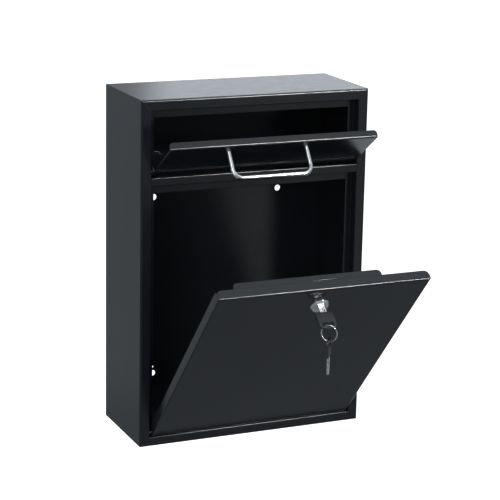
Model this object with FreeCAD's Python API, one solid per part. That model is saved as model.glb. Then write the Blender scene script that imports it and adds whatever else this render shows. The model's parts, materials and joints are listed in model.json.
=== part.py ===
import FreeCAD, Part
import math
import os

# Wall mounted drop box for letters. Millimetres, +X to the right when facing the box, +Y towards the wall,
# +Z up. The origin is the centre of the four wall-screw holes on the back face of the box.

# ---- box ----
OUTER_WIDTH = 285.0
OUTER_HEIGHT = 411.0
OUTER_DEPTH = 120.0
SHEET = 1.2
OUTER_BEND = 2.2
INNER_BEND = 1.0
PANEL_BEND = 1.8            # bends of the flap and the door
EDGE_ROUND = 0.55           # dressed top edge of the sill
FRAME_WIDTH = 12.5          # painted frame left, right and above the openings
SILL_HEIGHT = 10.5
REBATE_DEPTH = 12.8         # front plane to the face that the flap and the door close against
SIDE_STOP = 7.5
TOP_STOP = 10.0
DIVIDER_DROP = 89.5         # top of the box to the top of the rail between the two openings
DIVIDER_HEIGHT = 10.1
DIVIDER_STOP = 10.4
FLAP_TAB_WIDTH = 6.5
FLAP_TAB_HEIGHT = 28.2

# ---- wall screws ----
SCREW_SPACING_X = 164.0
SCREW_SPACING_Z = 223.0
LOWER_SCREW_HEIGHT = 47.5
SCREW_HOLE_RADIUS = 3.75
PILOT_HOLE_RADIUS = 1.4
PILOT_OFFSET_Z = 8.0

# ---- mail flap ----
FLAP_WIDTH = 256.6
FLAP_HEIGHT = 74.7
FLAP_GAP = 1.3
FLAP_TOP_FLANGE = 9.0
FLAP_BOTTOM_FLANGE = 8.0
FLAP_PIVOT_BACK = 4.4
FLAP_PIVOT_UP = 6.0
FLAP_OPEN_DEG = 55.5
FLAP_EAR_RADIUS = 5.6
FLAP_CORNER = 4.0
ARM_INNER_X = 112.0
ARM_FOOT = 6.0
TOE_GAP = 0.4
TOE_LOW = 8.0
TOE_HIGH = 18.0

# ---- pull handle ----
HANDLE_SPACING = 96.0
HANDLE_SHIFT_X = -8.0
HANDLE_DROP = 10.0
HANDLE_REACH = 34.5
WIRE_RADIUS = 2.75
WIRE_BEND = 11.0
HANDLE_SCREW_RADIUS = 2.0
HANDLE_SCREW_DEPTH = 8.0
HANDLE_HEAD_RADIUS = 4.0
HANDLE_HEAD_HEIGHT = 2.4
WASHER_RADIUS = 5.0
WASHER_THICKNESS = 0.8

# ---- lower door ----
DOOR_WIDTH = 254.4
DOOR_HEIGHT = 298.0
DOOR_DEPTH = 11.8
DOOR_GAP = 1.1
DOOR_PIVOT_BACK = 6.0
DOOR_PIVOT_UP = 2.8
DOOR_OPEN_DEG = 41.7
DOOR_CORNER = 6.0

# ---- hinge pins ----
PIN_RADIUS = 1.5
PIN_CLEARANCE = 0.05
PIN_OUTER_X = 132.5

# ---- lock guard behind the door's upper edge ----
GUARD_LEFT = -101.8
GUARD_RIGHT = 75.7
GUARD_DROP = 9.5
GUARD_DEPTH = 24.8
GUARD_LEG = 5.0
GUARD_CORNER = 5.0

# ---- cam lock ----
LOCK_DROP = 30.0
BEZEL_RADIUS = 11.0
BEZEL_HEIGHT = 4.0
BEZEL_RIM = 1.4
BEZEL_FACE_RADIUS = 9.4
BARREL_RADIUS = 9.5
BARREL_CLEARANCE = 0.1
BARREL_DEPTH = 15.0
PLUG_RADIUS = 6.0
PLUG_CLEARANCE = 0.05
PLUG_PROUD = 0.3
KEYWAY_DEPTH = 12.5
KEYWAY_CLEARANCE = 0.12
NUT_ACROSS_FLATS = 24.0
NUT_HEIGHT = 4.0
CAM_GAP = 0.3
CAM_THICKNESS = 2.0
CAM_REACH = 26.5
CAM_HALF_WIDTH = 6.5
CAM_SQUARE = 7.0
CAM_SLOT_MARGIN = 0.8
CAM_SCREW_RADIUS = 2.0
CAM_SCREW_DEPTH = 2.2
CAM_HEAD_RADIUS = 4.5
CAM_HEAD_HEIGHT = 2.4

# ---- keys ----
KEY_SHIFT_X = 1.4           # keyway and keys lie this far right of the lock's axis
BOW_WIDTH = 21.0
BOW_LENGTH = 20.5
BOW_THICKNESS = 2.8
BOW_CORNER = 5.0
BOW_SHOULDER_CORNER = 2.0
BOW_EDGE_ROUND = 0.5
BOW_SLOT_WIDTH = 14.0
BOW_SLOT_HEIGHT = 5.5
BOW_RIM = 2.2
BLADE_WIDTH = 8.0
BLADE_THICKNESS = 2.0
BLADE_LENGTH = 21.0
BLADE_TANG = 9.0
BLADE_CUTS = (1.2, 2.0, 0.9, 1.7, 1.3)
GROOVE_WIDTH = 1.6
GROOVE_DEPTH = 0.5
GROOVE_CENTRES = (-1.5, 0.9)  # on the near face and on the far face
KEY_SHOULDER = 10.5

# ---- key ring ----
RING_RADIUS = 9.0
RING_WIRE = 0.75
RING_TURN_DEG = -45.0
RING_SHIFT_X = 0.6
RING_GAP = 0.35
SPARE_TURN_DEG = -36.0

# ---- positions that follow from the sizes above ----
HALF_WIDTH = OUTER_WIDTH / 2
BOTTOM_Z = -(LOWER_SCREW_HEIGHT + SCREW_SPACING_Z / 2)
TOP_Z = BOTTOM_Z + OUTER_HEIGHT
FRONT_Y = -OUTER_DEPTH
OPENING_HALF = HALF_WIDTH - FRAME_WIDTH
OPENING_TOP = TOP_Z - FRAME_WIDTH
SILL_Z = BOTTOM_Z + SILL_HEIGHT
STOP_FACE_Y = FRONT_Y + REBATE_DEPTH
STOP_BACK_Y = STOP_FACE_Y + SHEET
STOP_HALF = OPENING_HALF - SIDE_STOP
DIVIDER_TOP = TOP_Z - DIVIDER_DROP
DIVIDER_BOTTOM = DIVIDER_TOP - DIVIDER_HEIGHT

FLAP_BOTTOM = DIVIDER_TOP + FLAP_GAP
FLAP_TOP = FLAP_BOTTOM + FLAP_HEIGHT
FLAP_PIVOT = (FRONT_Y + FLAP_PIVOT_BACK, FLAP_BOTTOM + FLAP_PIVOT_UP)
DOOR_BOTTOM = SILL_Z + DOOR_GAP
DOOR_TOP = DOOR_BOTTOM + DOOR_HEIGHT
DOOR_PIVOT = (FRONT_Y + DOOR_PIVOT_BACK, DOOR_BOTTOM + DOOR_PIVOT_UP)
LOCK_Z = DOOR_TOP - LOCK_DROP
GUARD_Z = DOOR_TOP - GUARD_DROP
CAM_FRONT = BARREL_DEPTH + CAM_GAP
BOW_BAR_Z = BOW_LENGTH - BOW_RIM + BOW_THICKNESS / 2

X_AXIS = FreeCAD.Vector(1, 0, 0)
Y_AXIS = FreeCAD.Vector(0, 1, 0)
Z_AXIS = FreeCAD.Vector(0, 0, 1)
PARTS = {}


def box(x_range, y_range, z_range):
    corner = FreeCAD.Vector(x_range[0], y_range[0], z_range[0])
    return Part.makeBox(x_range[1] - x_range[0], y_range[1] - y_range[0], z_range[1] - z_range[0], corner)


def cylinder(radius, start, direction, length):
    return Part.makeCylinder(radius, length, FreeCAD.Vector(*start), FreeCAD.Vector(*direction))


def prism(points, axis, low, high):
    """Extrude a closed outline along X (points are y, z), along Y (x, z) or along Z (x, y)."""
    place = {
        "X": lambda p: FreeCAD.Vector(low, p[0], p[1]),
        "Y": lambda p: FreeCAD.Vector(p[0], low, p[1]),
        "Z": lambda p: FreeCAD.Vector(p[0], p[1], low),
    }[axis]
    corners = [place(p) for p in points]
    travel = {"X": X_AXIS, "Y": Y_AXIS, "Z": Z_AXIS}[axis] * (high - low)
    return Part.Face(Part.makePolygon(corners + corners[:1])).extrude(travel)


def mirrored(shape):
    return shape.mirror(FreeCAD.Vector(0, 0, 0), X_AXIS)


def turned(shape, pivot, degrees):
    """Turn a shape about the X direction through a pivot given as (y, z)."""
    copy = shape.copy()
    copy.rotate(FreeCAD.Vector(0, pivot[0], pivot[1]), X_AXIS, degrees)
    return copy


def turned_point(y, z, pivot, degrees):
    angle = math.radians(degrees)
    dy = y - pivot[0]
    dz = z - pivot[1]
    return (
        pivot[0] + dy * math.cos(angle) - dz * math.sin(angle),
        pivot[1] + dy * math.sin(angle) + dz * math.cos(angle),
    )


def rounded(shape, radius, wanted):
    """Fillet the straight edges whose two end points both satisfy the test."""
    chosen = [e for e in shape.Edges if all(wanted(v.Point) for v in e.Vertexes) and len(e.Vertexes) == 2]
    return shape.makeFillet(radius, chosen)


def near(value, target):
    return abs(value - target) < 0.01


def joined(shapes):
    return shapes[0].multiFuse(shapes[1:]).removeSplitter()


# ---- box ----

def side_wall():
    """Right wall: side sheet, front frame, rebate and stop strip folded from one sheet."""
    inner = HALF_WIDTH - SHEET
    jamb = OPENING_HALF + SHEET
    outline = [
        (HALF_WIDTH, 0), (HALF_WIDTH, FRONT_Y), (OPENING_HALF, FRONT_Y), (OPENING_HALF, STOP_BACK_Y),
        (jamb, STOP_BACK_Y), (jamb, FRONT_Y + SHEET), (inner, FRONT_Y + SHEET), (inner, 0),
    ]
    wall = prism(outline, "Z", BOTTOM_Z, TOP_Z)
    wall = rounded(wall, OUTER_BEND, lambda p: near(p.x, HALF_WIDTH) and near(p.y, FRONT_Y))
    wall = rounded(wall, INNER_BEND, lambda p: near(p.x, OPENING_HALF) and near(p.y, FRONT_Y))
    reach = OUTER_HEIGHT
    above = [(HALF_WIDTH - reach, TOP_Z - reach), (HALF_WIDTH, TOP_Z), (HALF_WIDTH, TOP_Z + reach)]
    wall = wall.cut(prism(above, "Y", FRONT_Y - 1, 1))
    stop = box((STOP_HALF, jamb), (STOP_FACE_Y, STOP_BACK_Y), (BOTTOM_Z + SHEET, OPENING_TOP))
    wall = wall.fuse(stop).cut(bottom_wall())
    for y, z in (FLAP_PIVOT, DOOR_PIVOT):
        wall = wall.cut(cylinder(PIN_RADIUS + PIN_CLEARANCE, (OPENING_HALF - 1, y, z), (1, 0, 0), SHEET + 2))
    return wall.removeSplitter()


def top_wall():
    lower = TOP_Z - SHEET
    jamb = OPENING_TOP + SHEET
    outline = [
        (0, TOP_Z), (FRONT_Y, TOP_Z), (FRONT_Y, OPENING_TOP), (STOP_BACK_Y, OPENING_TOP),
        (STOP_BACK_Y, jamb), (FRONT_Y + SHEET, jamb), (FRONT_Y + SHEET, lower), (0, lower),
    ]
    wall = prism(outline, "X", -HALF_WIDTH, HALF_WIDTH)
    wall = rounded(wall, OUTER_BEND, lambda p: near(p.y, FRONT_Y) and near(p.z, TOP_Z))
    wall = rounded(wall, INNER_BEND, lambda p: near(p.y, FRONT_Y) and near(p.z, OPENING_TOP))
    reach = 100
    beside = [
        (HALF_WIDTH, TOP_Z), (HALF_WIDTH + 1, TOP_Z),
        (HALF_WIDTH + 1, TOP_Z - reach), (HALF_WIDTH - reach, TOP_Z - reach),
    ]
    corner = prism(beside, "Y", FRONT_Y - 1, 1)
    wall = wall.cut(corner).cut(mirrored(corner))
    stop = box((-STOP_HALF, STOP_HALF), (STOP_FACE_Y, STOP_BACK_Y), (OPENING_TOP - TOP_STOP, jamb))
    return joined([wall, stop])


def bottom_wall():
    upper = BOTTOM_Z + SHEET
    outline = [
        (0, BOTTOM_Z), (FRONT_Y, BOTTOM_Z), (FRONT_Y, SILL_Z),
        (FRONT_Y + SHEET, SILL_Z), (FRONT_Y + SHEET, upper), (0, upper),
    ]
    lip = prism(outline, "X", -OPENING_HALF, OPENING_HALF)
    for edge_y in (FRONT_Y, FRONT_Y + SHEET):
        lip = rounded(lip, EDGE_ROUND, lambda p, edge_y=edge_y: near(p.y, edge_y) and near(p.z, SILL_Z))
    floor_half = HALF_WIDTH - SHEET
    floor = box((-floor_half, floor_half), (FRONT_Y + SHEET, 0), (BOTTOM_Z, upper))
    return joined([lip, floor])


def back_panel():
    half = HALF_WIDTH - SHEET
    panel = box((-half, half), (-SHEET, 0), (BOTTOM_Z + SHEET, TOP_Z - SHEET))
    for side in (-1, 1):
        x = side * SCREW_SPACING_X / 2
        high = SCREW_SPACING_Z / 2
        pilot_z = PILOT_OFFSET_Z - high
        holes = [(-high, SCREW_HOLE_RADIUS), (high, SCREW_HOLE_RADIUS), (pilot_z, PILOT_HOLE_RADIUS)]
        for z, radius in holes:
            panel = panel.cut(cylinder(radius, (x, -SHEET - 1, z), (0, 1, 0), SHEET + 2))
    return panel


def divider_rail():
    """Rail between the openings: a folded channel with the door's stop strip and two upright flap tabs."""
    face = box((-OPENING_HALF, OPENING_HALF), (FRONT_Y, STOP_FACE_Y), (DIVIDER_BOTTOM, DIVIDER_TOP))
    for edge_z in (DIVIDER_TOP, DIVIDER_BOTTOM):
        face = rounded(face, INNER_BEND, lambda p, edge_z=edge_z: near(p.y, FRONT_Y) and near(p.z, edge_z))
    hollow = box(
        (-OPENING_HALF - 1, OPENING_HALF + 1),
        (FRONT_Y + SHEET, STOP_FACE_Y + 1),
        (DIVIDER_BOTTOM + SHEET, DIVIDER_TOP - SHEET),
    )
    channel = face.cut(hollow)
    back = (STOP_FACE_Y, STOP_BACK_Y)
    strip = box((-STOP_HALF, STOP_HALF), back, (DIVIDER_BOTTOM - DIVIDER_STOP, DIVIDER_TOP))
    tab = box((STOP_HALF - FLAP_TAB_WIDTH, STOP_HALF), back, (DIVIDER_TOP, DIVIDER_TOP + FLAP_TAB_HEIGHT))
    return joined([channel, strip, tab, mirrored(tab)])


# ---- rounded rear corners of the flap and the door ----

def round_off(corner, radius, axis, low, high):
    """What to cut away to round a corner whose faces look towards + on both other axes, from low to high."""
    a, b = corner
    square = [(a - radius, b - radius), (a, b - radius), (a, b), (a - radius, b)]
    centre = {"X": (low, a - radius, b - radius), "Z": (a - radius, b - radius, low)}[axis]
    direction = {"X": (1, 0, 0), "Z": (0, 0, 1)}[axis]
    return prism(square, axis, low, high).cut(cylinder(radius, centre, direction, high - low))


# ---- mail flap, built shut ----

def flap_panel():
    top, bottom = FLAP_TOP, FLAP_BOTTOM
    back = FRONT_Y + SHEET
    top_back = FRONT_Y + FLAP_TOP_FLANGE
    low_back = FRONT_Y + FLAP_BOTTOM_FLANGE
    outline = [
        (FRONT_Y, bottom), (FRONT_Y, top), (top_back, top), (top_back, top - SHEET), (back, top - SHEET),
        (back, bottom + SHEET), (low_back, bottom + SHEET), (low_back, bottom),
    ]
    half = FLAP_WIDTH / 2
    panel = prism(outline, "X", -half, half)
    for edge_z in (top, bottom):
        panel = rounded(panel, PANEL_BEND, lambda p, edge_z=edge_z: near(p.y, FRONT_Y) and near(p.z, edge_z))
    corner = round_off((half, top_back), FLAP_CORNER, "Z", top - SHEET, top)
    panel = panel.cut(corner).cut(mirrored(corner))
    y, z = FLAP_PIVOT
    ear = cylinder(FLAP_EAR_RADIUS, (half - SHEET, y, z), (1, 0, 0), SHEET)
    web = box((half - SHEET, half), (back - 0.2, y), (z - FLAP_EAR_RADIUS + 1.0, z + FLAP_EAR_RADIUS))
    ear = ear.fuse(web).cut(box((half - 10, half + 1), (FRONT_Y - 5, back - 0.2), (bottom, top)))
    panel = joined([panel, ear, mirrored(ear)])
    hole = cylinder(PIN_RADIUS, (half - 5, y, z), (1, 0, 0), 10)
    panel = panel.cut(hole).cut(mirrored(hole))
    for x in handle_leg_positions():
        reach = cylinder(HANDLE_SCREW_RADIUS, (x, FRONT_Y - 1, FLAP_TOP - HANDLE_DROP), (0, 1, 0), SHEET + 2)
        panel = panel.cut(reach)
    return panel


def flap_arm():
    """Right arm: a plate on the flap's back whose toe comes up behind the rail's tab when the flap is open."""
    y, z = FLAP_PIVOT
    back = FRONT_Y + SHEET
    toe_near = STOP_BACK_Y + TOE_GAP
    toe_outline = [
        turned_point(toe_y, z + toe_z, FLAP_PIVOT, -FLAP_OPEN_DEG)
        for toe_y, toe_z in (
            (toe_near, TOE_LOW), (toe_near + SHEET, TOE_LOW),
            (toe_near + SHEET, TOE_HIGH), (toe_near, TOE_HIGH),
        )
    ]
    low_near, low_far, high_far, high_near = toe_outline
    plate_outline = [(back, z - 2), low_near, low_far, high_far, high_near, (back + 6, z + 16), (back, z + 16)]
    plate = prism(plate_outline, "X", ARM_INNER_X, ARM_INNER_X + SHEET)
    toe = prism(toe_outline, "X", ARM_INNER_X, STOP_HALF - 1.5)
    foot = box((ARM_INNER_X - ARM_FOOT, ARM_INNER_X + SHEET), (back, back + SHEET), (z, z + 14))
    return joined([plate, toe, foot])


def hinge_pin(pivot, inner_x):
    """Right pin: pressed through the moving sheet and turning in the box's rebate."""
    return cylinder(PIN_RADIUS, (inner_x, *pivot), (1, 0, 0), PIN_OUTER_X - inner_x)


def handle_leg_positions():
    return [HANDLE_SHIFT_X - HANDLE_SPACING / 2, HANDLE_SHIFT_X + HANDLE_SPACING / 2]


def pull_handle():
    left, right = handle_leg_positions()
    z = FLAP_TOP - HANDLE_DROP
    bar_y = FRONT_Y - HANDLE_REACH
    bend_y = bar_y + WIRE_BEND
    diagonal = WIRE_BEND * (1 - math.sqrt(0.5))

    def at(x, y):
        return FreeCAD.Vector(x, y, z)

    def bend(leg_x, inward):
        """Quarter turn from the leg at leg_x into the bar, which starts on the inward side."""
        middle = at(leg_x + inward * diagonal, bar_y + diagonal)
        return Part.Arc(at(leg_x, bend_y), middle, at(leg_x + inward * WIRE_BEND, bar_y)).toShape()

    path = Part.Wire(Part.__sortEdges__([
        Part.makeLine(at(left, FRONT_Y), at(left, bend_y)),
        bend(left, 1),
        Part.makeLine(at(left + WIRE_BEND, bar_y), at(right - WIRE_BEND, bar_y)),
        bend(right, -1),
        Part.makeLine(at(right, bend_y), at(right, FRONT_Y)),
    ]))
    section = Part.Wire(Part.makeCircle(WIRE_RADIUS, at(left, FRONT_Y), Y_AXIS))
    wire = path.makePipeShell([section], True, False)
    for x in (left, right):
        wire = wire.cut(cylinder(HANDLE_SCREW_RADIUS, (x, FRONT_Y, z), (0, -1, 0), HANDLE_SCREW_DEPTH))
    return wire


def handle_fasteners():
    """The two screws and the two washers that hold the handle from behind the flap."""
    z = FLAP_TOP - HANDLE_DROP
    washer_front = FRONT_Y + SHEET
    head_front = washer_front + WASHER_THICKNESS
    screws = []
    washers = []
    for x in handle_leg_positions():
        washer = cylinder(WASHER_RADIUS, (x, washer_front, z), (0, 1, 0), WASHER_THICKNESS)
        hole = cylinder(HANDLE_SCREW_RADIUS, (x, washer_front, z), (0, 1, 0), WASHER_THICKNESS)
        washers.append(washer.cut(hole))
        head = cylinder(HANDLE_HEAD_RADIUS, (x, head_front, z), (0, 1, 0), HANDLE_HEAD_HEIGHT)
        shank_start = FRONT_Y - HANDLE_SCREW_DEPTH
        shank = cylinder(HANDLE_SCREW_RADIUS, (x, shank_start, z), (0, 1, 0), head_front - shank_start)
        screws.append(head.fuse(shank).removeSplitter())
    return Part.makeCompound(screws), Part.makeCompound(washers)


# ---- lower door, built shut ----

def door_panel():
    half = DOOR_WIDTH / 2
    back = FRONT_Y + DOOR_DEPTH
    pan = box((-half, half), (FRONT_Y, back), (DOOR_BOTTOM, DOOR_TOP))
    pan = rounded(pan, PANEL_BEND, lambda p: near(p.y, FRONT_Y))
    inside = box(
        (-half + SHEET, half - SHEET),
        (FRONT_Y + SHEET, back + 1),
        (DOOR_BOTTOM + SHEET, DOOR_TOP - SHEET),
    )
    lock_hole = cylinder(BARREL_RADIUS + BARREL_CLEARANCE, (0, FRONT_Y - 1, LOCK_Z), (0, 1, 0), SHEET + 2)
    pan = pan.cut(inside).cut(lock_hole)
    cuts = [
        cylinder(PIN_RADIUS, (half - 5, *DOOR_PIVOT), (1, 0, 0), 10),
        round_off((half, back), DOOR_CORNER, "Z", DOOR_TOP - SHEET, DOOR_TOP),
        round_off((back, DOOR_TOP), DOOR_CORNER, "X", half - SHEET, half),
    ]
    for cut in cuts:
        pan = pan.cut(cut).cut(mirrored(cut))
    return pan


def lock_guard():
    """Ledge that keeps letters off the cam, with a weld flange and a slot that the cam swings up through."""
    front = FRONT_Y + SHEET
    back = FRONT_Y + GUARD_DEPTH
    ledge = box((GUARD_LEFT, GUARD_RIGHT), (front, back), (GUARD_Z - SHEET, GUARD_Z))
    for end_x in (GUARD_LEFT, GUARD_RIGHT):
        ledge = rounded(ledge, GUARD_CORNER, lambda p, end_x=end_x: near(p.x, end_x) and near(p.y, back))
    flange = box((GUARD_LEFT, GUARD_RIGHT), (front, front + SHEET), (GUARD_Z - GUARD_LEG - SHEET, GUARD_Z))
    height = LOCK_DROP - GUARD_DROP - SHEET
    sweep = math.sqrt(CAM_REACH ** 2 - height ** 2)
    slot = box(
        (-CAM_HALF_WIDTH - 1.5, sweep + 1.5),
        (FRONT_Y + CAM_FRONT - CAM_SLOT_MARGIN, FRONT_Y + CAM_FRONT + CAM_THICKNESS + CAM_SLOT_MARGIN),
        (GUARD_Z - 9, GUARD_Z + 1),
    )
    return joined([ledge, flange]).cut(slot)


def lock_body():
    face = FRONT_Y
    rim = cylinder(BEZEL_RADIUS, (0, face, LOCK_Z), (0, -1, 0), BEZEL_RIM)
    cone_start = FreeCAD.Vector(0, face - BEZEL_RIM, LOCK_Z)
    cone = Part.makeCone(BEZEL_RADIUS, BEZEL_FACE_RADIUS, BEZEL_HEIGHT - BEZEL_RIM, cone_start, -Y_AXIS)
    barrel = cylinder(BARREL_RADIUS, (0, face, LOCK_Z), (0, 1, 0), BARREL_DEPTH)
    bore = cylinder(PLUG_RADIUS + PLUG_CLEARANCE, (0, face - 10, LOCK_Z), (0, 1, 0), BARREL_DEPTH + 20)
    return joined([rim, cone, barrel]).cut(bore)


def lock_nut():
    front = FRONT_Y + SHEET
    corner_radius = NUT_ACROSS_FLATS / math.sqrt(3)
    angles = [math.radians(60 * k) for k in range(6)]
    outline = [(corner_radius * math.cos(a), LOCK_Z + corner_radius * math.sin(a)) for a in angles]
    nut = prism(outline, "Y", front, front + NUT_HEIGHT)
    return nut.cut(cylinder(BARREL_RADIUS, (0, front, LOCK_Z), (0, 1, 0), NUT_HEIGHT))


def lock_plug():
    front = FRONT_Y - BEZEL_HEIGHT - PLUG_PROUD
    rear = FRONT_Y + BARREL_DEPTH + CAM_GAP
    plug = cylinder(PLUG_RADIUS, (0, front, LOCK_Z), (0, 1, 0), rear - front)
    square = CAM_SQUARE / 2
    tang = box((-square, square), (rear, rear + CAM_THICKNESS), (LOCK_Z - square, LOCK_Z + square))
    half_x = BLADE_WIDTH / 2 + KEYWAY_CLEARANCE
    half_z = BLADE_THICKNESS / 2 + KEYWAY_CLEARANCE
    keyway = box(
        (KEY_SHIFT_X - half_x, KEY_SHIFT_X + half_x),
        (front - 1, FRONT_Y + KEYWAY_DEPTH),
        (LOCK_Z - half_z, LOCK_Z + half_z),
    )
    thread_end = rear + CAM_THICKNESS - CAM_SCREW_DEPTH - CAM_THICKNESS
    thread = cylinder(CAM_SCREW_RADIUS, (0, thread_end, LOCK_Z), (0, 1, 0), CAM_SCREW_DEPTH + CAM_THICKNESS)
    return plug.fuse(tang).cut(keyway).cut(thread).removeSplitter()


def lock_cam():
    """Cam pointing to the right, the way it lies when the lock is open."""
    front = FRONT_Y + CAM_FRONT
    tip_x = CAM_REACH - CAM_HALF_WIDTH
    hub = cylinder(CAM_HALF_WIDTH + 1.0, (0, front, LOCK_Z), (0, 1, 0), CAM_THICKNESS)
    arm = box((0, tip_x), (front, front + CAM_THICKNESS), (LOCK_Z - CAM_HALF_WIDTH, LOCK_Z + CAM_HALF_WIDTH))
    tip = cylinder(CAM_HALF_WIDTH, (tip_x, front, LOCK_Z), (0, 1, 0), CAM_THICKNESS)
    square = CAM_SQUARE / 2
    hole = box((-square, square), (front - 1, front + 9), (LOCK_Z - square, LOCK_Z + square))
    return joined([hub, arm, tip]).cut(hole)


def cam_screw():
    seat = FRONT_Y + CAM_FRONT + CAM_THICKNESS
    head = cylinder(CAM_HEAD_RADIUS, (0, seat, LOCK_Z), (0, 1, 0), CAM_HEAD_HEIGHT)
    length = CAM_SCREW_DEPTH + CAM_THICKNESS
    shank = cylinder(CAM_SCREW_RADIUS, (0, seat - length, LOCK_Z), (0, 1, 0), length)
    groove_floor = seat + CAM_HEAD_HEIGHT - 1
    driver = box((-CAM_HEAD_RADIUS, CAM_HEAD_RADIUS), (groove_floor, seat + 9), (LOCK_Z - 0.5, LOCK_Z + 0.5))
    return head.fuse(shank).cut(driver).removeSplitter()


# ---- keys, built upright with the bow on top and the shoulder at z = 0 ----

def key_blade():
    half_x = BLADE_WIDTH / 2
    half_y = BLADE_THICKNESS / 2
    tip = -BLADE_LENGTH
    outline = [(-half_x, BLADE_TANG), (-half_x, tip + 3), (-half_x + 3, tip), (half_x - 3.5, tip)]
    step = (BLADE_LENGTH - 7) / len(BLADE_CUTS)
    for k, cut in enumerate(reversed(BLADE_CUTS)):
        low = tip + 3 + k * step
        outline += [(half_x - cut, low), (half_x - cut, low + step * 0.35), (half_x - 0.3, low + step * 0.8)]
    outline += [(half_x, -4), (half_x, BLADE_TANG)]
    blade = prism(outline, "Y", -half_y, half_y)
    for face_y, x in zip((-half_y, half_y), GROOVE_CENTRES):
        blade = blade.cut(box(
            (x - GROOVE_WIDTH / 2, x + GROOVE_WIDTH / 2),
            (face_y - GROOVE_DEPTH, face_y + GROOVE_DEPTH),
            (tip - 1, -0.5),
        ))
    return blade


def key_bow():
    """Moulded bow with a wide slot whose outer bar is round where the ring rests on it."""
    half_x = BOW_WIDTH / 2
    half_y = BOW_THICKNESS / 2
    plate = box((-half_x, half_x), (-half_y, half_y), (0, BOW_LENGTH))
    for edge_z, radius in ((0, BOW_SHOULDER_CORNER), (BOW_LENGTH, BOW_CORNER)):
        for edge_x in (-half_x, half_x):
            plate = rounded(plate, radius, lambda p, x=edge_x, z=edge_z: near(p.x, x) and near(p.z, z))
    plate = plate.makeFillet(BOW_EDGE_ROUND, [e for e in plate.Edges if near(e.BoundBox.YLength, 0)])
    slot_half = BOW_SLOT_WIDTH / 2
    slot_low = BOW_LENGTH - BOW_RIM - BOW_SLOT_HEIGHT
    slot = box((-slot_half, slot_half), (-half_y - 1, half_y + 1), (slot_low, BOW_BAR_Z))
    slot = slot.makeFillet(2.0, [e for e in slot.Edges if near(e.BoundBox.YLength, BOW_THICKNESS + 2)])
    bar = cylinder(half_y, (-slot_half, 0, BOW_BAR_Z), (1, 0, 0), BOW_SLOT_WIDTH).common(plate)
    half_blade = BLADE_WIDTH / 2
    socket = box((-half_blade, half_blade), (-BLADE_THICKNESS / 2, BLADE_THICKNESS / 2), (-1, BLADE_TANG))
    return joined([plate.cut(slot), bar]).cut(socket)


def in_lock(shape):
    """Lay an upright key along the lock's axis in the shut door, then swing it out with the door."""
    copy = turned(shape, (0, 0), 90)
    copy.translate(FreeCAD.Vector(KEY_SHIFT_X, FRONT_Y - KEY_SHOULDER, LOCK_Z))
    return turned(copy, DOOR_PIVOT, DOOR_OPEN_DEG)


def ring_centre():
    """The ring hangs over the round bar of the key in the lock, with the door open."""
    y, z = turned_point(FRONT_Y - KEY_SHOULDER - BOW_BAR_Z, LOCK_Z, DOOR_PIVOT, DOOR_OPEN_DEG)
    above_bar = BOW_THICKNESS / 2 + RING_GAP + RING_WIRE
    return FreeCAD.Vector(KEY_SHIFT_X + RING_SHIFT_X, y, z + above_bar - RING_RADIUS)


def key_ring():
    turn = math.radians(RING_TURN_DEG)
    normal = FreeCAD.Vector(math.sin(turn), -math.cos(turn), 0)
    return Part.makeTorus(RING_RADIUS, RING_WIRE, ring_centre(), normal)


def on_ring(shape):
    """Hang an upright key by its round bar from the lowest point of the ring, across the ring's wire."""
    copy = shape.copy()
    copy.rotate(FreeCAD.Vector(0, 0, 0), Z_AXIS, 90 + SPARE_TURN_DEG)
    above_wire = RING_WIRE + RING_GAP + BOW_THICKNESS / 2
    copy.translate(ring_centre() + FreeCAD.Vector(0, 0, above_wire - RING_RADIUS - BOW_BAR_Z))
    return copy


# ---- assembly ----

def add(name, shape):
    PARTS[name] = shape


def with_flap(shape):
    return turned(shape, FLAP_PIVOT, FLAP_OPEN_DEG)


def with_door(shape):
    return turned(shape, DOOR_PIVOT, DOOR_OPEN_DEG)


def both_sides(shape):
    return Part.makeCompound([shape, mirrored(shape)])


def build():
    add("back_panel", back_panel())
    add("right_wall", side_wall())
    add("left_wall", mirrored(side_wall()))
    add("top_wall", top_wall())
    add("bottom_wall", bottom_wall())
    add("divider_rail", divider_rail())

    screws, washers = handle_fasteners()
    arm = flap_arm()
    add("flap_panel", with_flap(flap_panel()))
    add("flap_arm_right", with_flap(arm))
    add("flap_arm_left", with_flap(mirrored(arm)))
    add("flap_pins", with_flap(both_sides(hinge_pin(FLAP_PIVOT, FLAP_WIDTH / 2 - SHEET))))
    add("pull_handle", with_flap(pull_handle()))
    add("handle_screws", with_flap(screws))
    add("handle_washers", with_flap(washers))

    add("door_panel", with_door(door_panel()))
    add("lock_guard", with_door(lock_guard()))
    add("door_pins", with_door(both_sides(hinge_pin(DOOR_PIVOT, DOOR_WIDTH / 2 - SHEET))))
    add("lock_body", with_door(lock_body()))
    add("lock_nut", with_door(lock_nut()))
    add("lock_plug", with_door(lock_plug()))
    add("lock_cam", with_door(lock_cam()))
    add("cam_screw", with_door(cam_screw()))

    add("key_blade", in_lock(key_blade()))
    add("key_bow", in_lock(key_bow()))
    add("key_ring", key_ring())
    add("spare_key_blade", on_ring(key_blade()))
    add("spare_key_bow", on_ring(key_bow()))


build()
os.makedirs("parts", exist_ok=True)
for node, shape in PARTS.items():
    shape.exportStep(os.path.join("parts", node + ".step"))
    print(node, "solids", len(shape.Solids), "valid", shape.isValid())
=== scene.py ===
import json
import math

import bmesh
import bpy
import numpy as np
from mathutils import Matrix, Vector

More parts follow.
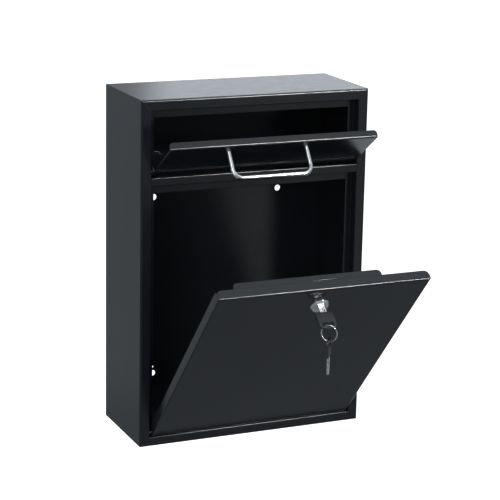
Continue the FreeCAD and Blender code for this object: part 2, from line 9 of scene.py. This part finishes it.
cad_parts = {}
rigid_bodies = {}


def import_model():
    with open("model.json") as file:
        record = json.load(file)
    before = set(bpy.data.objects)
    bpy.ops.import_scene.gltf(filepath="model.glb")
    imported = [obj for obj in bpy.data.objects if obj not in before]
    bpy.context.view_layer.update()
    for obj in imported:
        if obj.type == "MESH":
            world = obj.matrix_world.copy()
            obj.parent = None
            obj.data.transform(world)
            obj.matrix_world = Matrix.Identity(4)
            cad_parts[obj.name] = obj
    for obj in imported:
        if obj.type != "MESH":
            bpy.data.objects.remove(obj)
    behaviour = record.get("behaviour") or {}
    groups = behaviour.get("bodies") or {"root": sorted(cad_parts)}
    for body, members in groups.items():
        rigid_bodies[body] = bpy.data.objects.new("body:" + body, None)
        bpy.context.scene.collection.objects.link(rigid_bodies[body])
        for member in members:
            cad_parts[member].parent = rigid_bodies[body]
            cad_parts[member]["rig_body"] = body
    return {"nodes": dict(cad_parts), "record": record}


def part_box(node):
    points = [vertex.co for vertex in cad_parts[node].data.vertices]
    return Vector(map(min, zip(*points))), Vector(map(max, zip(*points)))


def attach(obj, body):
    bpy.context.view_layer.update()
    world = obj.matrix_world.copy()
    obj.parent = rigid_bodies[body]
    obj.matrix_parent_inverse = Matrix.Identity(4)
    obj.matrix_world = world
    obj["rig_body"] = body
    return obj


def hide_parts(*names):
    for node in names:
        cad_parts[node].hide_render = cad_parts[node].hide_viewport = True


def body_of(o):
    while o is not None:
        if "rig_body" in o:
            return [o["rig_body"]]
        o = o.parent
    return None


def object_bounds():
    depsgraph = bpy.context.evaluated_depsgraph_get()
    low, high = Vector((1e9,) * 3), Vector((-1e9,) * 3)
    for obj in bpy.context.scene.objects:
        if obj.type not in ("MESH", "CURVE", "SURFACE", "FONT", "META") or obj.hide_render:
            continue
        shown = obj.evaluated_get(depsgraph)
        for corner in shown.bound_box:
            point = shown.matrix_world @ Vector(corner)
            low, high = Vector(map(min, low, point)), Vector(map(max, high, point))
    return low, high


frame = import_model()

# Looks for the wall mounted drop box. Metres, in the CAD frame: +X right, +Y towards the wall, +Z up.

CAD_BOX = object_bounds()
NODES = frame["nodes"]

MM = 0.001

# ---- finishes ----
COAT_DARK = (0.016, 0.018, 0.022, 1)
COAT_LIGHT = (0.023, 0.025, 0.030, 1)
# paler coat for sharp edges: partly rubbed wear, partly a painted highlight along the bends
WORN_AND_HIGHLIGHT_EDGE_COAT = (0.10, 0.105, 0.11, 1)
PLASTIC_DARK = (0.045, 0.047, 0.052, 1)
PLASTIC_LIGHT = (0.10, 0.102, 0.106, 1)
CHROME = (0.93, 0.93, 0.94, 1)
NICKEL = (0.84, 0.83, 0.81, 1)
ZINC = (0.68, 0.69, 0.70, 1)
COAT_EDGE_RADIUS = 0.9 * MM
METAL_EDGE_RADIUS = 0.25 * MM
PLASTIC_EDGE_RADIUS = 0.4 * MM

# ---- split ring: sizes as shares of the CAD torus's wire radius, angles in radians ----
COIL_HALF_WIDTH = 0.90
COIL_HALF_THICKNESS = 0.46
COIL_OFFSET = 0.52
COIL_CROSSING = 0.35            # half of the arc over which one turn steps past the other
COIL_END = 1.15 * COIL_CROSSING  # how far each end stops from the middle of that arc
COIL_STEPS = 300
SECTION_STEPS = 12

# ---- camera, as fitted to the box's corners ----
CAMERA_AZIMUTH = math.radians(-23.93)
CAMERA_ELEVATION = math.radians(14.53)
CAMERA_ROLL = math.radians(1.19)
CAMERA_DISTANCE = 2.209
CAMERA_TARGET = Vector((0.0204, -0.060, 0.05135))
CAMERA_LENS = 131.7
SENSOR_WIDTH = 36.0

# ---- studio ----
FLOOR_DROP = 0.90
BACKDROP_RADIUS = 12.0
BACKDROP_HEIGHT = 16.0
WHITE = (1.0, 1.0, 1.0)
COOL = (0.86, 0.93, 1.0)


# ---- node materials ----

def new_material(name):
    """A new node material, its node tree and its Principled shader."""
    material = bpy.data.materials.new(name)
    material.use_nodes = True
    tree = material.node_tree
    return material, tree, tree.nodes["Principled BSDF"]


def set_inputs(node, **values):
    """Set input sockets by name, with _ for each space."""
    for key, value in values.items():
        node.inputs[key.replace("_", " ")].default_value = value


def add_node(tree, kind, settings=None, **inputs):
    """A new node with its own settings and the values of its input sockets."""
    node = tree.nodes.new(kind)
    for key, value in (settings or {}).items():
        setattr(node, key, value)
    set_inputs(node, **inputs)
    return node


def object_noise(tree, scale, detail):
    """Noise fixed to the piece, 0 to 1, with scale in features per metre."""
    place = add_node(tree, "ShaderNodeTexCoord")
    noise = add_node(tree, "ShaderNodeTexNoise", Scale=scale, Detail=detail, Roughness=0.55)
    tree.links.new(place.outputs["Object"], noise.inputs["Vector"])
    return noise.outputs["Fac"]


def grey(level):
    return (level, level, level, 1)


def ramp(tree, source, low, high, low_at=0.3, high_at=0.7):
    """Turn a 0-1 signal into a colour between low and high."""
    node = add_node(tree, "ShaderNodeValToRGB")
    first, last = node.color_ramp.elements
    first.position, first.color = low_at, low
    last.position, last.color = high_at, high
    tree.links.new(source, node.inputs["Fac"])
    return node.outputs["Color"]


def bump(tree, height, strength, distance, normal):
    """The normal that height adds to the normal given."""
    node = add_node(tree, "ShaderNodeBump", Strength=strength, Distance=distance)
    tree.links.new(height, node.inputs["Height"])
    tree.links.new(normal, node.inputs["Normal"])
    return node.outputs["Normal"]


def soft_edges(tree, radius):
    """A signal that is 1 on flats and falls on sharp edges, and a normal that rounds those edges."""
    rounded = add_node(tree, "ShaderNodeBevel", {"samples": 6}, Radius=radius)
    geometry = add_node(tree, "ShaderNodeNewGeometry")
    dot = add_node(tree, "ShaderNodeVectorMath", {"operation": "DOT_PRODUCT"})
    tree.links.new(rounded.outputs["Normal"], dot.inputs[0])
    tree.links.new(geometry.outputs["Normal"], dot.inputs[1])
    return dot.outputs["Value"], rounded.outputs["Normal"]


def powder_coat(name, dark, light, roughness):
    """Powder coat: orange peel over a fine grain, slow drifts of tone and gloss, and sharp edges painted
    paler in patches, partly as rubbed wear and partly as a painted highlight along the bends.
    """
    material, tree, shader = new_material(name)
    set_inputs(shader, Metallic=0.0, IOR=1.5)
    flatness, soft_normal = soft_edges(tree, COAT_EDGE_RADIUS)

    patches = object_noise(tree, 60.0, 5.0)
    # Sharp edges turn paler in patches. This is partly rubbed wear and partly a painted highlight standing in
    # for the bright lines along the bends.
    edge_wear_and_highlight = add_node(tree, "ShaderNodeMath", {"operation": "MULTIPLY"})
    tree.links.new(ramp(tree, flatness, grey(1.0), grey(0.0), 0.80, 0.97), edge_wear_and_highlight.inputs[0])
    tree.links.new(ramp(tree, patches, grey(0.1), grey(0.9), 0.35, 0.65), edge_wear_and_highlight.inputs[1])
    colour = add_node(tree, "ShaderNodeMix", {"data_type": "RGBA"}, B=WORN_AND_HIGHLIGHT_EDGE_COAT)
    tree.links.new(edge_wear_and_highlight.outputs["Value"], colour.inputs["Factor"])
    tree.links.new(ramp(tree, object_noise(tree, 9.0, 4.0), dark, light), colour.inputs["A"])
    tree.links.new(colour.outputs["Result"], shader.inputs["Base Color"])

    gloss = ramp(tree, patches, grey(roughness - 0.02), grey(roughness + 0.02))
    tree.links.new(gloss, shader.inputs["Roughness"])
    peel = bump(tree, object_noise(tree, 330.0, 1.0), 0.10, 0.4 * MM, soft_normal)
    grain = bump(tree, object_noise(tree, 700.0, 2.0), 0.55, 0.15 * MM, peel)
    tree.links.new(grain, shader.inputs["Normal"])
    return material


def plated(name, colour, roughness, grain):
    """Plated or polished metal: fine polishing marks, smudges, slight tone drift and softly rounded edges."""
    material, tree, shader = new_material(name)
    set_inputs(shader, Metallic=1.0)
    soft_normal = soft_edges(tree, METAL_EDGE_RADIUS)[1]
    darker = tuple(0.86 * c for c in colour[:3]) + (1,)
    tone = ramp(tree, object_noise(tree, 120.0, 4.0), darker, colour)
    tree.links.new(tone, shader.inputs["Base Color"])
    smudges = ramp(tree, object_noise(tree, 260.0, 4.0), grey(roughness), grey(roughness * 2.2))
    tree.links.new(smudges, shader.inputs["Roughness"])
    marks = bump(tree, object_noise(tree, 1500.0, 2.0), grain, 0.05 * MM, soft_normal)
    tree.links.new(marks, shader.inputs["Normal"])
    return material


def moulded_plastic(name, dark, light, roughness):
    """Moulded plastic with a fine spark-eroded grain, paler on sharp edges."""
    material, tree, shader = new_material(name)
    set_inputs(shader, Metallic=0.0, IOR=1.47)
    flatness, soft_normal = soft_edges(tree, PLASTIC_EDGE_RADIUS)
    tree.links.new(ramp(tree, flatness, light, dark, 0.75, 0.95), shader.inputs["Base Color"])
    grain = object_noise(tree, 1400.0, 2.0)
    sheen = ramp(tree, grain, grey(roughness - 0.05), grey(roughness + 0.08))
    tree.links.new(sheen, shader.inputs["Roughness"])
    tree.links.new(bump(tree, grain, 0.25, 0.1 * MM, soft_normal), shader.inputs["Normal"])
    return material


def backdrop_paper():
    """White paper, lit evenly enough to show as white from every side."""
    material, tree, shader = new_material("backdrop_paper")
    set_inputs(shader, Base_Color=grey(0.8), Roughness=0.9, Emission_Strength=1.0)
    glow = ramp(tree, object_noise(tree, 0.8, 2.0), grey(1.0), grey(1.04))
    tree.links.new(glow, shader.inputs["Emission Color"])
    return material


MATERIALS = {
    "black_paint": powder_coat("black_powder_coat", COAT_DARK, COAT_LIGHT, 0.17),
    "chrome": plated("bright_chrome", CHROME, 0.08, 0.10),
    "nickel": plated("nickel_silver", NICKEL, 0.20, 0.50),
    "zinc": plated("zinc_plate", ZINC, 0.16, 0.35),
    "black_plastic": moulded_plastic("black_key_plastic", PLASTIC_DARK, PLASTIC_LIGHT, 0.34),
}


def paint_cad_nodes():
    """Each node takes its slot's material. The cut key blades are duller than the rest of the chrome slot."""
    for part in frame["record"]["subparts"]:
        name = part["node"]
        finish = "nickel" if name.endswith("key_blade") else part["material_slot"]
        NODES[name].data.materials.clear()
        NODES[name].data.materials.append(MATERIALS[finish])


# ---- a piece with more detail than the CAD model ----

def new_object(name, builder, material):
    """An object made from a finished bmesh, in the scene."""
    mesh = bpy.data.meshes.new(name)
    builder.to_mesh(mesh)
    builder.free()
    mesh.materials.append(material)
    thing = bpy.data.objects.new(name, mesh)
    bpy.context.scene.collection.objects.link(thing)
    return thing


def ring_shape(node):
    """Centre, axis, coil radius and wire radius of a torus node, from its mesh and its box."""
    low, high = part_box(node.name)
    centre = (Vector(low) + Vector(high)) / 2
    points = np.array([node.matrix_world @ vertex.co for vertex in node.data.vertices]) - np.array(centre)
    thinnest = np.linalg.svd(points, full_matrices=False)[2][2]
    axis = Vector(thinnest) if thinnest[0] > 0 else -Vector(thinnest)
    wire = float(np.abs(points @ thinnest).max())
    radius = float(np.linalg.norm(points, axis=1).max()) - wire
    return centre, axis, radius, wire


def coil_section(centre, outward, across):
    """Points round the oval section of a flattened wire, whose half sizes are outward and across."""
    for step in range(SECTION_STEPS):
        angle = 2 * math.pi * step / SECTION_STEPS
        yield centre + outward * math.cos(angle) + across * math.sin(angle)


def coil_sections(centre, axis, radius, wire):
    """Sections along two turns, side by side, that step past one another once."""
    first = axis.orthogonal().normalized()
    second = axis.cross(first)
    for step in range(COIL_STEPS + 1):
        angle = COIL_END + (4 * math.pi - 2 * COIL_END) * step / COIL_STEPS
        outward = first * math.cos(angle) + second * math.sin(angle)
        crossing = max(-1.0, min(1.0, (angle - 2 * math.pi) / COIL_CROSSING))
        side = axis * wire * COIL_OFFSET * math.sin(crossing * math.pi / 2)
        place = centre + outward * radius + side
        yield coil_section(place, outward * wire * COIL_HALF_WIDTH, axis * wire * COIL_HALF_THICKNESS)


def split_ring():
    """The key ring as two turns of flattened wire, inside the CAD model's torus."""
    node = NODES["key_ring"]
    builder = bmesh.new()
    loops = [[builder.verts.new(point) for point in section] for section in coil_sections(*ring_shape(node))]
    for one, other in zip(loops, loops[1:]):
        for k in range(SECTION_STEPS):
            after = (k + 1) % SECTION_STEPS
            builder.faces.new((one[k], one[after], other[after], other[k])).smooth = True
    builder.faces.new(loops[0])
    builder.faces.new(loops[-1])
    bmesh.ops.recalc_face_normals(builder, faces=builder.faces)

    ring = new_object("split_ring", builder, MATERIALS["chrome"])
    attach(ring, body_of(node)[0])
    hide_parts("key_ring")


# ---- stage ----

def make_camera():
    """The photo's camera, placed by direction and distance from its target and rolled slightly."""
    data = bpy.data.cameras.new("camera")
    data.lens = CAMERA_LENS
    data.sensor_width = SENSOR_WIDTH
    camera = bpy.data.objects.new("camera", data)
    bpy.context.scene.collection.objects.link(camera)
    a, e, r = CAMERA_AZIMUTH, CAMERA_ELEVATION, CAMERA_ROLL
    back = Vector((math.sin(a) * math.cos(e), -math.cos(a) * math.cos(e), math.sin(e)))
    level_right = Vector((math.cos(a), math.sin(a), 0))
    level_up = back.cross(level_right)
    right = level_right * math.cos(r) + level_up * math.sin(r)
    up = level_up * math.cos(r) - level_right * math.sin(r)
    turn = Matrix((right, up, back)).transposed().to_4x4()
    camera.matrix_world = Matrix.Translation(CAMERA_TARGET + back * CAMERA_DISTANCE) @ turn
    bpy.context.scene.camera = camera


def make_backdrop():
    """A round white floor with a wall round it. Only the camera sees it, so it throws no light on the box."""
    builder = bmesh.new()
    bmesh.ops.create_cone(builder, cap_ends=True, segments=96, radius1=BACKDROP_RADIUS,
                          radius2=BACKDROP_RADIUS, depth=BACKDROP_HEIGHT)
    bmesh.ops.translate(builder, verts=builder.verts, vec=(0, 0, BACKDROP_HEIGHT / 2))
    bmesh.ops.reverse_faces(builder, faces=builder.faces)
    backdrop = new_object("backdrop", builder, backdrop_paper())
    backdrop.location.z = CAD_BOX[0].z - FLOOR_DROP
    backdrop.visible_diffuse = False
    backdrop.visible_glossy = False
    backdrop.visible_shadow = False


def softbox(name, place, aim, size, radiance, colour=WHITE, only_reflects=False):
    """A rectangular light facing a point. radiance is how bright its face looks in a mirror."""
    data = bpy.data.lights.new(name, "AREA")
    data.shape = "RECTANGLE"
    data.size, data.size_y = size
    data.energy = radiance * math.pi * size[0] * size[1]
    data.color = colour
    light = bpy.data.objects.new(name, data)
    bpy.context.scene.collection.objects.link(light)
    turn = (Vector(aim) - Vector(place)).to_track_quat("-Z", "Y").to_matrix().to_4x4()
    light.matrix_world = Matrix.Translation(place) @ turn
    light.visible_camera = False
    light.visible_diffuse = not only_reflects


def make_world(below, above):
    """Even light from above, dimmer from below, where the studio's dark floor would be."""
    world = bpy.data.worlds.new("studio")
    world.use_nodes = True
    tree = world.node_tree
    direction = add_node(tree, "ShaderNodeTexCoord")
    split = add_node(tree, "ShaderNodeSeparateXYZ")
    height = add_node(tree, "ShaderNodeMapRange", From_Min=-1.0, From_Max=1.0)
    tree.links.new(direction.outputs["Generated"], split.inputs["Vector"])
    tree.links.new(split.outputs["Z"], height.inputs["Value"])
    low = tuple(below * c for c in COOL) + (1,)
    high = tuple(above * c for c in COOL) + (1,)
    sky = tree.nodes["Background"]
    tree.links.new(ramp(tree, height.outputs["Result"], low, high, 0.40, 0.55), sky.inputs["Color"])
    bpy.context.scene.world = world


def make_lights():
    """A dim room, cards for the broad reflections, and softboxes for the highlights on edges and chrome."""
    make_world(0.20, 0.34)
    middle = (0.0, -0.1, 0.0)
    softbox("rear_box", (2.78, 3.6, 1.35), (0.0, 0.0, 0.25), (3.0, 1.5), 0.93, COOL)
    softbox("left_card", (-1.25, 2.3, -0.45), (-0.14, 0.0, 0.0), (1.3, 1.1), 0.09, COOL)
    softbox("top_box", (0.85, -0.75, 1.9), middle, (1.2, 1.1), 0.64, COOL, only_reflects=True)
    softbox("edge_box", (1.05, -2.05, 1.35), (0.0, 0.0, 0.1), (0.5, 0.4), 90.0, only_reflects=True)
    softbox("flap_card", (0.95, 0.75, -0.90), (0.1, -0.17, 0.13), (0.8, 0.8), 0.55, COOL, only_reflects=True)
    softbox("left_box", (-1.6, -1.8, 0.75), middle, (0.8, 0.8), 2.2, COOL)
    softbox("handle_box", (-1.15, -1.55, 1.75), (0.0, -0.1, 0.1), (0.9, 0.8), 2.4)
    softbox("right_strip", (0.90, -1.9, 0.0), (0.0, 0.0, 0.0), (0.30, 1.6), 0.26)


def set_view():
    """Colours straight to the screen, so that the paper stays white and the paint black."""
    bpy.context.scene.view_settings.view_transform = "Standard"


paint_cad_nodes()
split_ring()
make_camera()
make_backdrop()
make_lights()
set_view()
